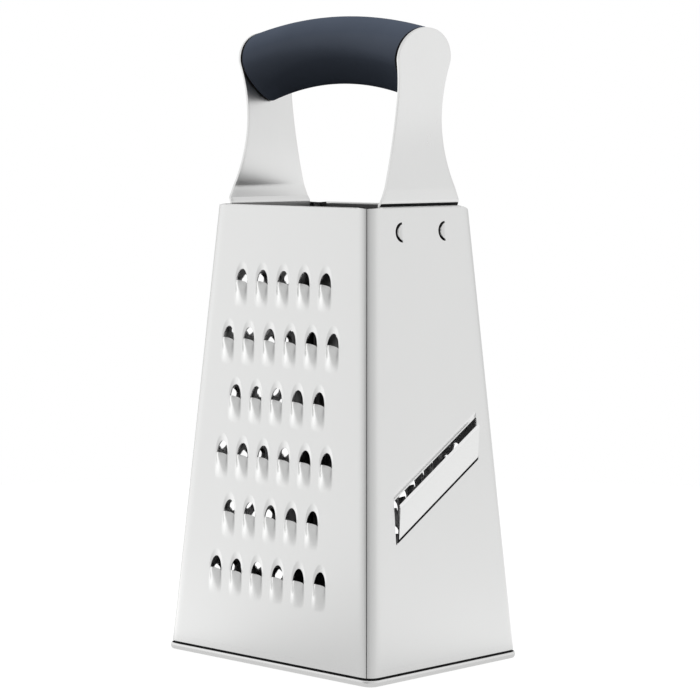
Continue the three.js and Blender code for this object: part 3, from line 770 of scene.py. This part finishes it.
def addTab(draft, x, y, placing):
    radius, lift = clinchTab["radius"], radians(clinchTab["angle"])
    rows = []
    for share in clinchTab["columns"]:
        column = []
        for a in tabAngles:
            reach = sqrt(max((radius - clinchTab["cut"]) ** 2 - (radius * sin(a)) ** 2, 0)) * share
            out = sin(lift) * max(reach - clinchTab["bendStart"], 0)
            column.append(placing @ Vector((x - reach * cos(lift), y + radius * sin(a), out)))
        rows.append(column)
    draft.grid([list(row) for row in zip(*rows)])


# Slicing blade: a slanted window whose lower part is bent out into a blade

slicer = {
    "width": 46.0, "lean": 30.0, "centre": 68.2, "height": 15.4,
    "bladeLength": 11.6, "bladeAngle": 9.0, "leftCut": 1.5, "rightCut": 0.3,
    "bevel": 0.85, "tipBack": 0.06, "tipDepth": 0.52,  # the ground edge
    "root": 0.4, "groove": 0.85, "grooveFoot": 0.12, "grooveDepth": 0.46,  # the crease along its root
    "grooveEdge": [(0, -0.1), (0.06, -0.03), (0.16, 0)],
    # rolled upper edge of the slot: distance down from it, and out of the sheet
    "lip": [(-0.8, 0), (0, 0), (0.25, -0.02), (0.5, -0.08), (1.4, -0.35), (1.65, -0.4), (2.1, -0.42)],
}


def slotLine(x, offset):
    # height on the face of a line along the blade, offset square to it from the slot's middle
    lean = radians(slicer["lean"])
    return slicer["centre"] + x * tan(lean) + offset / cos(lean)


def slotOutline():
    half, reach = slicer["width"] / 2, slicer["height"] / 2
    upper = reach - slicer["lip"][0][0]
    return [
        (-half, slotLine(-half, -reach)), (half, slotLine(half, -reach)),
        (half, slotLine(half, upper)), (-half, slotLine(-half, upper)),
    ]


def addLip(draft, placing):
    half, reach = slicer["width"] / 2, slicer["height"] / 2
    rows = []
    for drop, out in reversed(slicer["lip"]):
        rows.append([placing @ Vector((x, slotLine(x, reach - drop), out)) for x in (-half, half)])
    draft.grid(rows)


def bladeMesh(placing):
    angle, length = radians(slicer["bladeAngle"]), slicer["bladeLength"]
    sheet, root, groove, depth = body["sheet"], slicer["root"], slicer["groove"], slicer["grooveDepth"]
    section = [(-root, -sheet), (-root, -depth), (groove - slicer["grooveFoot"], -depth)]
    section += [(groove + d, w) for d, w in slicer["grooveEdge"]]
    section += [(length - slicer["bevel"], 0), (length - slicer["tipBack"], -slicer["tipDepth"])]
    section.append((length, -sheet))
    # the crease along the root and the underside are painted dark as shade; the ground edge is painted
    # bright as a highlight
    finishes = [shadeFinish] * 3 + [plainFinish] * 3 + [cutFinish] * 2 + [innerFinish]
    half = slicer["width"] / 2
    ends = []
    for x in (slicer["leftCut"] - half, half - slicer["rightCut"]):
        ring = []
        for d, w in section:
            offset = d * cos(angle) - w * sin(angle) - slicer["height"] / 2
            ring.append(placing @ Vector((x, slotLine(x, offset), d * sin(angle) + w * cos(angle))))
        ends.append(ring)
    draft = Draft()
    draft.grid([list(pair) for pair in zip(*ends)] + [[ends[0][0], ends[1][0]]], lambda i, j: finishes[i])
    draft.loop(ends[0], cutFinish)
    draft.loop(list(reversed(ends[1])), cutFinish)
    return draft.mesh(sheetFinishes)


def makePanels():
    noTeeth = {"Columns": 0, "Row Pairs": 0, "Points": 3, "Rings": 1}
    tabs = [tabOutline(*place) for place in tabPlaces]
    near, far = body["nearDrop"], body["farDrop"]
    panels = [
        ("coarsePanel", "coarse_panel", True, 0, (near, near), toothTree, coarseTeeth, []),
        ("slicerPanel", "slicer_panel", False, 90, (near, far), toothTree, noTeeth, tabs + [slotOutline()]),
        ("mediumPanel", "medium_panel", True, 180, (far, near), toothTree, mediumTeeth, []),
        ("zesterPanel", "zester_panel", False, -90, (near, near), burstTree, zestBursts, tabs),
    ]
    for name, node, wide, turn, drops, tree, sizes, openings in panels:
        face = wideFace if wide else narrowFace
        placing = facePlacing(face)
        flat = stampedFlat(tree, [flatBorder(face)] + openings, sizes)
        draft = panelDraft(face, wide, drops, flat)
        if not wide:
            for place in tabPlaces:
                addTab(draft, *place, placing)
        if name == "slicerPanel":
            addLip(draft, placing)
        mesh = thickened(draft.mesh(sheetFinishes), body["sheet"])
        if name == "slicerPanel":
            mesh = joinMeshes(mesh, bladeMesh(placing))
        finishPiece(name, mesh, node, turn)


makePanels()

# Rim: a folded band clipped round the foot

rim = {
    # (height, distance out from the body) along curves, from the outer lip down and under to the inside
    "lip": [(2.3, 0.2), (2.3, 0.5), (1.8, 0.55), (1.45, 0.55)],
    "roll": [(1.45, 0.55), (0.85, 0.55), (0, 0.2), (0, -0.4)],
    "heel": [(0, -0.65), (0, -0.92), (0.18, -1.15), (0.4, -1.15)],
    "channel": [
        (2.2, -1.15), (2.3, -1.08), (2.3, -0.82), (2.2, -0.75), (0.45, -0.75), (0.45, 0.15), (2.2, 0.15),
    ],
    "lipSteps": 5, "rollSteps": 7, "heelSteps": 3, "cornerSteps": 14,
}


def rimProfile():
    lip, roll, heel = (list(bezier(rim[k], rim[k + "Steps"])) for k in ("lip", "roll", "heel"))
    return lip + roll[1:] + heel + rim["channel"]


def rimRing(z, offset):
    half, out = halfAt(wideFace, z) - body["corner"], outAt(wideFace, z) - body["corner"]
    radius = body["corner"] + offset
    ring = []
    for sideX, sideY, start in ((1, 1, 0), (-1, 1, 90), (-1, -1, 180), (1, -1, 270)):
        for a in evenly(radians(start), radians(start + 90), rim["cornerSteps"]):
            ring.append(Vector((sideX * half + radius * cos(a), sideY * out + radius * sin(a), z)))
    return ring


def makeRim():
    draft = Draft()
    rings = [rimRing(z, offset) for z, offset in reversed(rimProfile())]
    draft.grid(rings + [rings[0]], closed=True)
    finishPiece("baseRim", draft.mesh([rimSteel]), "base_rim", sharp=50)


makeRim()

# Straps: bowed steel plates that carry the grip

strap = {
    "sheet": 1.0, "rise": 63.8, "proud": 0.1, "creaseRise": 2.0, "kneeRise": 0.3,
    "tongueLength": 17.0, "tongueHalf": 20.6, "tongueCorner": 4.0, "tongueDepth": 1.5,
    "flareHalf": 20.4, "flareCorner": 1.2, "waistHalf": 11.6, "waistRise": 37.3,
    "domeHalf": 13.7, "domeHeight": 11.3, "neckPull": 0.6, "domePull": 0.1,
    "bowRadius": 113.0, "leanIn": 10.8, "leanOut": 7.3,
    "heelRise": 4.4, "heelRound": 10.0, "heelAim": 0.8,  # the upright foot of the bow
    "kneeRound": 0.9, "creaseRound": 1.0, "edge": 0.24,
    "shadeFoot": 1.0, "shadeDrop": 0.9,  # painted shade on the strap's foot at the top of the body
    "bowSteps": 28, "curveSteps": (5, 5, 20, 12), "domeSteps": 24,
    "columns": [-1, -0.9, -0.5, 0, 0.5, 0.9, 1], "rowGap": 0.02,
}
domeCentre = topLine + strap["rise"] - strap["domeHeight"]
creaseHeight = topLine + strap["creaseRise"]
leaning = radians(strap["leanOut"])


def bowPoint(lean):
    first = radians(strap["leanIn"])
    x = body["topWidth"] / 2 + strap["proud"] + strap["bowRadius"] * (cos(first) - cos(lean))
    return Vector((x, creaseHeight + strap["bowRadius"] * (sin(first) + sin(lean))))


def roundedCorner(before, corner, after, radius, steps=6):
    toFirst, toLast = (before - corner).normalized(), (after - corner).normalized()
    half = toFirst.angle(toLast) / 2
    reach = radius / tan(half)
    middle = corner + (toFirst + toLast).normalized() * radius / sin(half)
    start, end = corner + toFirst * reach - middle, corner + toLast * reach - middle
    return [middle + start.lerp(end, k / steps).normalized() * radius for k in range(steps + 1)]


def strapLine():
    tilt = tiltOf(narrowFace)
    depth = strap["tongueDepth"] / cos(tilt)

    def tonguePoint(z):
        return Vector((body["topWidth"] / 2 - (z - topLine) * tan(tilt) - depth, z))

    foot, knee = tonguePoint(topLine - strap["tongueLength"]), tonguePoint(topLine + strap["kneeRise"])
    first = asin(strap["heelRise"] / strap["bowRadius"] - sin(radians(strap["leanIn"])))
    heel = bowPoint(first)
    crease = Vector((heel.x, creaseHeight))
    line = [foot]
    line += roundedCorner(foot, knee, crease, strap["kneeRound"])
    line += roundedCorner(knee, crease, heel, strap["creaseRound"])
    line += roundedCorner(crease, heel, bowPoint(first * strap["heelAim"]), strap["heelRound"])
    line += [bowPoint(lean) for lean in evenly(first, leaning, strap["bowSteps"])[2:]]
    rest = topLine + strap["rise"] - line[-1].y
    line.append(line[-1] + Vector((rest * tan(leaning), rest)))
    return line


def strapOutline():
    foot = topLine - strap["tongueLength"]
    waist = topLine + strap["waistRise"]
    tongue, flare, neck, head = (strap[k] for k in ("tongueHalf", "flareHalf", "waistHalf", "domeHalf"))
    corner, flareFoot = strap["tongueCorner"], creaseHeight - strap["flareCorner"]
    reach = domeCentre - waist
    pull = strap["neckPull"] * reach, strap["domePull"] * reach
    curves = [
        [(tongue - corner, foot), (tongue, foot), (tongue, foot + corner)],
        [(tongue, flareFoot), (flare, flareFoot), (flare, creaseHeight)],
        [(flare, creaseHeight), (neck, (waist + creaseHeight) / 2), (neck, waist)],
        [(neck, waist), (neck, waist + pull[0]), (head, domeCentre - pull[1]), (head, domeCentre)],
    ]
    line = []
    for points, steps in zip(curves, strap["curveSteps"]):
        line += bezier(points, steps)
    for a in evenly(0, pi / 2, strap["domeSteps"])[1:]:
        line.append(Vector((head * cos(a), domeCentre + strap["domeHeight"] * sin(a))))
    return line


def along(line, height):
    for low, high in zip(line, line[1:]):
        if low.y <= height <= high.y:
            return mix(low.x, high.x, (height - low.y) / max(high.y - low.y, 1e-9))
    return line[-1].x if height > line[-1].y else line[0].x


def strapMesh():
    line, outline = strapLine(), strapOutline()
    heights = sorted({round(p.y, 4) for p in line + outline})
    following = heights[1:] + [2 * heights[-1]]
    heights = [h for h, after in zip(heights, following) if after - h > strap["rowGap"]]
    shadeLow, shadeHigh = topLine - strap["shadeFoot"], creaseHeight - strap["shadeDrop"]
    rows = [[Vector((along(line, z), c * along(outline, z), z)) for c in strap["columns"]] for z in heights]
    draft = Draft()
    # the foot under the crease is painted dark as shade
    draft.grid(rows, lambda i, j: shadeFinish if shadeLow < heights[i] < shadeHigh else plainFinish)
    finishes = [strapSteel] * len(sheetFinishes)
    finishes[shadeFinish] = seamShadow
    return thickened(draft.mesh(finishes), strap["sheet"], even=True, bevel=strap["edge"])


def makeStraps():
    straps = [("strapRight", "handle_strap_right", 0), ("strapLeft", "handle_strap_left", 180)]
    for name, node, turn in straps:
        finishPiece(name, strapMesh(), node, turn, sharp=40)


makeStraps()

# Grip sleeve: soft rubber with a narrow keel below

grip = {
    "depth": 14.5, "shoulder": 6.0, "keel": 3.6, "topArch": 5.0, "lowerArch": 6.2,
    "wall": 2.7, "gap": 0.3, "endRound": 0.9,
    "stations": 120, "domeSteps": 40, "keelSteps": 24, "endSteps": 6, "innerSteps": 8,
}


def seatX(z):
    # where the grip ends at a strap
    bowEnd = strapLine()[-2]
    return bowEnd.x + (z - bowEnd.y) * tan(leaning) - strap["sheet"] / cos(leaning) - grip["gap"]


def gripSection():
    head, height = strap["domeHalf"], strap["domeHeight"]
    depth, shoulder, keel = grip["depth"], grip["shoulder"], grip["keel"]
    section = [Vector((head * cos(a), height * sin(a))) for a in evenly(0, pi, grip["domeSteps"])]
    curve = [(-head, 0), (-head, -shoulder), (-keel, -depth), (0, -depth)]
    lower = list(bezier(curve, grip["keelSteps"]))
    section += lower[1:]
    section += [Vector((-p.x, p.y)) for p in reversed(lower[1:-1])]
    return section


def makeSleeve():
    section = gripSection()
    high, low = domeCentre + strap["domeHeight"], domeCentre - grip["depth"]
    seatHigh, seatLow = seatX(high), seatX(low)

    def ringAt(s, inset):
        arch = 1 - s * s
        scale = 1 - inset / strap["domeHalf"]
        top = Vector((s * seatHigh, 0, high + grip["topArch"] * arch))
        keel = Vector((s * seatLow, 0, low + grip["lowerArch"] * arch))
        ring = []
        for p in section:
            share = (p.y * scale + grip["depth"]) / (strap["domeHeight"] + grip["depth"])
            point = keel.lerp(top, share)
            point.y = p.x * scale
            ring.append(point)
        return ring

    soft = grip["endRound"]
    half = (seatHigh + seatLow) / 2
    turns = evenly(0, pi / 2, grip["endSteps"])
    ends = [(1 - soft / half * (1 - sin(a)), soft * (1 - cos(a))) for a in turns]
    inner = 1 - soft / half
    middle = [(s, 0) for s in evenly(-inner, inner, grip["stations"])[1:-1]]
    outer = [(-s, inset) for s, inset in reversed(ends)] + middle + ends
    rings = [ringAt(s, inset) for s, inset in outer]
    rings += [ringAt(s, grip["wall"]) for s in evenly(1, -1, grip["innerSteps"])]

    # the rubber's rounded ends at each strap are painted dark: painted shade in the joint
    first = len(ends) - 2
    last = len(outer) - first - 1
    draft = Draft()
    draft.grid(rings + [rings[0]], lambda i, j: 0 if first <= i < last else 1, closed=True)
    mesh = draft.mesh([gripRubber, seamShadow])
    finishPiece("gripSleeve", mesh, "grip_sleeve", sharp=60)


makeSleeve()

# CAD solids that are kept, inside the grip

keptFinishes = {"grip_core": corePlastic, "grip_stud_right": rimSteel, "grip_stud_left": rimSteel}
for node, finish in keptFinishes.items():
    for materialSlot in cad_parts[node].material_slots:
        materialSlot.material = finish

# Pale floor, and a white tent that is duller on the camera's side

studio = {
    "floorRadius": 0.5, "floorSink": 1.0,  # in metres
    "floorSegments": 96, "floorGlow": 0.84, "floorTone": 0.24, "paleFloor": 0.12,
    "shadeStart": 3.0, "shadeWidth": 3.0,  # painted shade in the floor's glow under the foot
    "nearLevel": 0.78, "nearReach": 70.0,  # its glow in reflections is painted duller near the foot, as shade
    "round": [  # light level round the horizon, from straight behind the object by its left
        (-180, 0.95), (-155, 1.05), (-125, 0.98), (-112, 0.99), (-104, 1.09), (-97, 1.14), (-88, 1.01),
        (-80, 0.89), (-72, 0.76), (-64, 0.68), (-55, 0.57), (-46, 0.48), (-36, 0.44), (-24, 0.5),
        (-12, 0.6), (0, 0.67), (15, 0.72), (30, 0.76), (45, 0.81), (60, 0.87), (75, 0.93), (90, 0.97),
        (100, 0.95), (112, 0.87), (128, 0.79), (155, 0.76), (180, 0.95),
    ],
    "below": [  # and below the horizon
        (-180, 1.25), (-150, 1.38), (-105, 1.36), (-95, 1.22), (-86, 1.1), (-77, 0.88), (-68, 0.78),
        (-55, 0.75), (-30, 0.74), (0, 0.76), (30, 0.79), (60, 0.9), (85, 1.09), (110, 1.11), (150, 1.0),
        (180, 1.25),
    ],
    "belowRange": (-0.1, -0.02),
    "overhead": 0.85, "overheadRange": (0.4, 0.8),
    "shedRange": (-0.2, 0.42), "shedLight": (0.05, 1.15),  # what the tent sheds, low and high
}


def tentGroup():
    # level of the tent in a direction seen from the object
    inputs, outputs = [("Direction", "Vector")], [("Level", "Float"), ("Height", "Float")]
    tree, given, result = newTree("tentLevel", "ShaderNodeTree", inputs, outputs)

    def facing(direction):
        node = addNode(tree, "ShaderNodeVectorMath", {"operation": "DOT_PRODUCT"})
        plug(node.inputs[0], given["Direction"])
        node.inputs[1].default_value = direction
        return Wire(tree, node.outputs["Value"])

    a = radians(photoView["azimuth"])
    aside, towards, height = facing((cos(a), sin(a), 0)), facing((sin(a), -cos(a), 0)), facing((0, 0, 1))
    turn = aside.use("ARCTAN2", towards) / (2 * pi) + 0.5

    def levelsAround(levels):
        ramp = addNode(tree, "ShaderNodeValToRGB", Fac=turn)
        stops = ramp.color_ramp.elements
        while len(stops) < len(levels):
            stops.new(0.5)
        for stop, (angle, level) in zip(stops, levels):
            stop.position = angle / 360 + 0.5
            stop.color = (level, level, level, 1)
        return Wire(tree, ramp.outputs[0])

    upper, lower = levelsAround(studio["round"]), levelsAround(studio["below"])
    under = mapped(tree, height, studio["belowRange"], (1, 0))
    around = upper + (lower - upper) * under
    high = mapped(tree, height, studio["overheadRange"], (0, 1))
    plug(result.inputs["Level"], around + (studio["overhead"] - around) * high)
    plug(result.inputs["Height"], height)
    return tree


tentLevel = tentGroup()


def lightPathMask(tree):
    path = addNode(tree, "ShaderNodeLightPath")
    seen = Wire(tree, path.outputs["Is Camera Ray"])
    shown = seen + path.outputs["Is Glossy Ray"] + path.outputs["Is Transmission Ray"]
    return seen, shown.use("MINIMUM", 1)


def between(tree, factor, first, second):
    node = addNode(tree, "ShaderNodeMixShader")
    for slot, value in zip(node.inputs, (factor, first, second)):
        plug(slot, value)
    return node.outputs[0]


def makeWorld():
    world = bpy.data.worlds.new("whiteTent")
    world.use_nodes = True
    scene.world = world
    tree = world.node_tree
    tree.nodes.clear()
    ray = addNode(tree, "ShaderNodeTexCoord").outputs["Generated"]
    tent = addNode(tree, "ShaderNodeGroup", {"node_tree": tentLevel}, Direction=ray)
    seen, shown = lightPathMask(tree)
    shed = mapped(tree, tent.outputs["Height"], studio["shedRange"], studio["shedLight"])
    level = Wire(tree, tent.outputs["Level"]) * (shed + (1 - shed) * shown)
    tented = addNode(tree, "ShaderNodeBackground", Color=level, Strength=1.0)
    white = addNode(tree, "ShaderNodeBackground", Color=(1, 1, 1, 1), Strength=1.0)
    output = addNode(tree, "ShaderNodeOutputWorld")
    plug(output.inputs["Surface"], between(tree, seen, tented.outputs[0], white.outputs[0]))


def makeFloor():
    made = bmesh.new()
    segments, radius = studio["floorSegments"], studio["floorRadius"]
    bmesh.ops.create_circle(made, cap_ends=True, segments=segments, radius=radius)
    mesh = bpy.data.meshes.new("floor")
    made.to_mesh(mesh)
    made.free()
    material = bpy.data.materials.new("paleFloor")
    material.use_nodes = True
    tree = material.node_tree
    tree.nodes.clear()
    seen, shown = lightPathMask(tree)

    # the glow stops under the foot, a painted shadow, and in reflections it follows the tent, painted
    # duller near the foot
    place = addNode(tree, "ShaderNodeTexCoord").outputs["Object"]
    split = addNode(tree, "ShaderNodeSeparateXYZ", Vector=place)
    beside = []
    for axis, size in (("X", body["baseWidth"]), ("Y", body["baseDepth"])):
        start = (size / 2 - studio["shadeStart"]) * mm
        beside.append((Wire(tree, split.outputs[axis]).use("ABSOLUTE") - start).use("MAXIMUM", 0))
    away = (beside[0] * beside[0] + beside[1] * beside[1]).use("SQRT")
    # mask of the painted shadow: no glow under the foot, full glow beyond it
    clear = (away / (studio["shadeWidth"] * mm)).use("MINIMUM", 1)
    sunk = addNode(tree, "ShaderNodeVectorMath", {"operation": "ADD"})
    plug(sunk.inputs[0], place)
    sunk.inputs[1].default_value = (0, 0, -studio["floorSink"])
    tent = addNode(tree, "ShaderNodeGroup", {"node_tree": tentLevel}, Direction=sunk.outputs[0])
    far = mapped(tree, away, (0, studio["nearReach"] * mm), (0, 1))
    level = studio["nearLevel"] + (Wire(tree, tent.outputs["Level"]) - studio["nearLevel"]) * far
    glow = level + (studio["floorGlow"] - level) * seen
    plain = addNode(tree, "ShaderNodeBsdfDiffuse", Color=(studio["paleFloor"],) * 3 + (1,))
    faint = addNode(tree, "ShaderNodeBsdfDiffuse", Color=seen * studio["floorTone"])
    white = addNode(tree, "ShaderNodeEmission", Color=clear * glow, Strength=1.0)
    pale = addNode(tree, "ShaderNodeAddShader")
    plug(pale.inputs[0], faint.outputs[0])
    plug(pale.inputs[1], white.outputs[0])
    output = addNode(tree, "ShaderNodeOutputMaterial")
    plug(output.inputs["Surface"], between(tree, shown, plain.outputs[0], pale.outputs[0]))
    mesh.materials.append(material)
    floor = newObject("floor", mesh)


makeWorld()
makeFloor()
print("studio lit")
